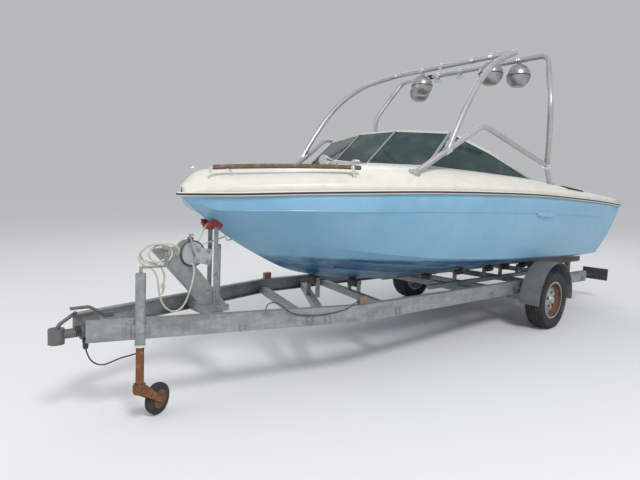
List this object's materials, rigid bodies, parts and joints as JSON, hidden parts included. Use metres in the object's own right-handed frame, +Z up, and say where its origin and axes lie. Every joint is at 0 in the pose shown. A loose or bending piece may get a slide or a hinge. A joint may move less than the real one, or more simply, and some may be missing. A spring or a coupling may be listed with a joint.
{
  "type": "speedboat",
  "caption": "runabout speedboat with a stern drive, a windscreen and a tube tower, held on a single-axle road trailer with a jockey wheel",
  "frame": {"origin": "middle of the bounding box in plan, on the ground under the wheels", "axes": "+X to the bow and the coupling, +Y to port, +Z up; the rig stands nose-up by 2.4 degrees on its wheels"},
  "size_m": [6.4936, 2.1816, 2.7503],
  "materials": {
    "hull": "weathered gelcoat",
    "deck": "weathered gelcoat",
    "rubrail": "matte",
    "liner": "matte",
    "engine": "painted",
    "vinyl": "coated cloth",
    "wood": "weathered",
    "board": "plain",
    "helm": "matte",
    "frame_white": "painted",
    "glass": "clear",
    "tube": "polished",
    "pod": "metallic",
    "steel": "galvanised",
    "tyre": "matte",
    "rim": "painted",
    "fender": "matte",
    "coupling": "worn paint",
    "rusty": "rusty",
    "red": "matte",
    "drive": "painted",
    "chrome": "polished",
    "black": "matte",
    "lamp": "gloss",
    "roller": "matte"
  },
  "bodies": {
    "rig": {"hull": "hull", "deck": "deck", "rubrail": "rubrail", "liner": "liner", "engine": "engine", "engine_beds": "board", "engine_box": "liner", "seat_bases": "board", "seat_pads": "vinyl", "seat_backs": "vinyl", "aft_pads": "vinyl", "consoles": "liner", "helm_column": "helm", "windscreen_frame": "frame_white", "windscreen_glass": "glass", "tower_hoops": "tube", "front_arch": "tube", "rear_arch": "tube", "speaker_pods": "pod", "side_beams": "steel", "cross_members": "steel", "axle": "steel", "fenders": "fender", "coupling": "coupling", "winch_arm": "steel", "bow_stop": "red", "bunks": "board", "bunk_posts": "steel", "jockey_outer": "steel", "jockey_crank": "steel", "transom_housing": "drive", "horn": "chrome", "stanchions": "chrome", "bow_rails": "wood", "side_vents": "black", "bow_eye": "chrome", "light_boards": "black", "handbrake": "coupling", "winch": "steel", "roller_brackets": "steel", "keel_rollers": "roller", "side_lamps": "lamp", "tower_lamps": "chrome"},
    "wheel_port": {"tyre_port": "tyre", "rim_port": "rim"},
    "wheel_starboard": {"tyre_starboard": "tyre", "rim_starboard": "rim"},
    "jockey_stem": {"jockey_stem": "rusty"},
    "jockey_fork": {"jockey_fork": "rusty"},
    "jockey_wheel": {"jockey_wheel": "rubrail"},
    "engine_hatch": {"engine_lid": "liner", "lid_pad": "vinyl"},
    "helm_wheel": {"steering_wheel": "helm"},
    "drive_yoke": {"drive_yoke": "drive"},
    "drive_leg": {"drive_leg": "drive"},
    "propeller": {"propeller": "drive"}
  },
  "joints": [
    {"name": "wheel_port_spin", "type": "hinge", "parent": "rig", "child": "wheel_port", "pos_m": [-1.22291, 0.885, 0.3], "axis": [0, 1, 0], "continuous": true},
    {"name": "wheel_starboard_spin", "type": "hinge", "parent": "rig", "child": "wheel_starboard", "pos_m": [-1.22291, -0.885, 0.3], "axis": [0, 1, 0], "continuous": true},
    {"name": "jockey_lift", "type": "slide", "parent": "rig", "child": "jockey_stem", "axis": [-0.0419, 0, 0.9991], "range_m": [-0.06, 0.18]},
    {"name": "jockey_swivel", "type": "hinge", "parent": "jockey_stem", "child": "jockey_fork", "pos_m": [2.81992, 0.272, 0.26927], "axis": [-0.0419, 0, 0.9991], "continuous": true},
    {"name": "jockey_wheel_spin", "type": "hinge", "parent": "jockey_fork", "child": "jockey_wheel", "pos_m": [2.67966, 0.187, 0.1], "axis": [-0.4996, 0.866, -0.0209], "continuous": true},
    {"name": "engine_hatch_open", "type": "hinge", "parent": "rig", "child": "engine_hatch", "pos_m": [-2.47123, 0, 1.18901], "axis": [0, -1, 0], "range_deg": [0, 75]},
    {"name": "drive_steer", "type": "hinge", "parent": "rig", "child": "drive_yoke", "pos_m": [-2.86243, 0, 0.73172], "axis": [-0.0419, 0, 0.9991], "range_deg": [-30, 30]},
    {"name": "helm_turn", "type": "hinge", "parent": "rig", "child": "helm_wheel", "pos_m": [0.18394, -0.44, 1.35984], "axis": [-0.9232, 0, 0.3843], "range_deg": [-540, 540]},
    {"name": "drive_tilt", "type": "hinge", "parent": "drive_yoke", "child": "drive_leg", "pos_m": [-2.86243, 0, 0.73172], "axis": [0, 1, 0], "range_deg": [0, 40]},
    {"name": "propeller_spin", "type": "hinge", "parent": "drive_leg", "child": "propeller", "pos_m": [-3.1837, 0, 0.27787], "axis": [0.9991, 0, 0.0419], "continuous": true}
  ],
  "couplings": [
    {"joint": "helm_turn", "follows": "drive_steer", "ratio": -18}
  ]
}
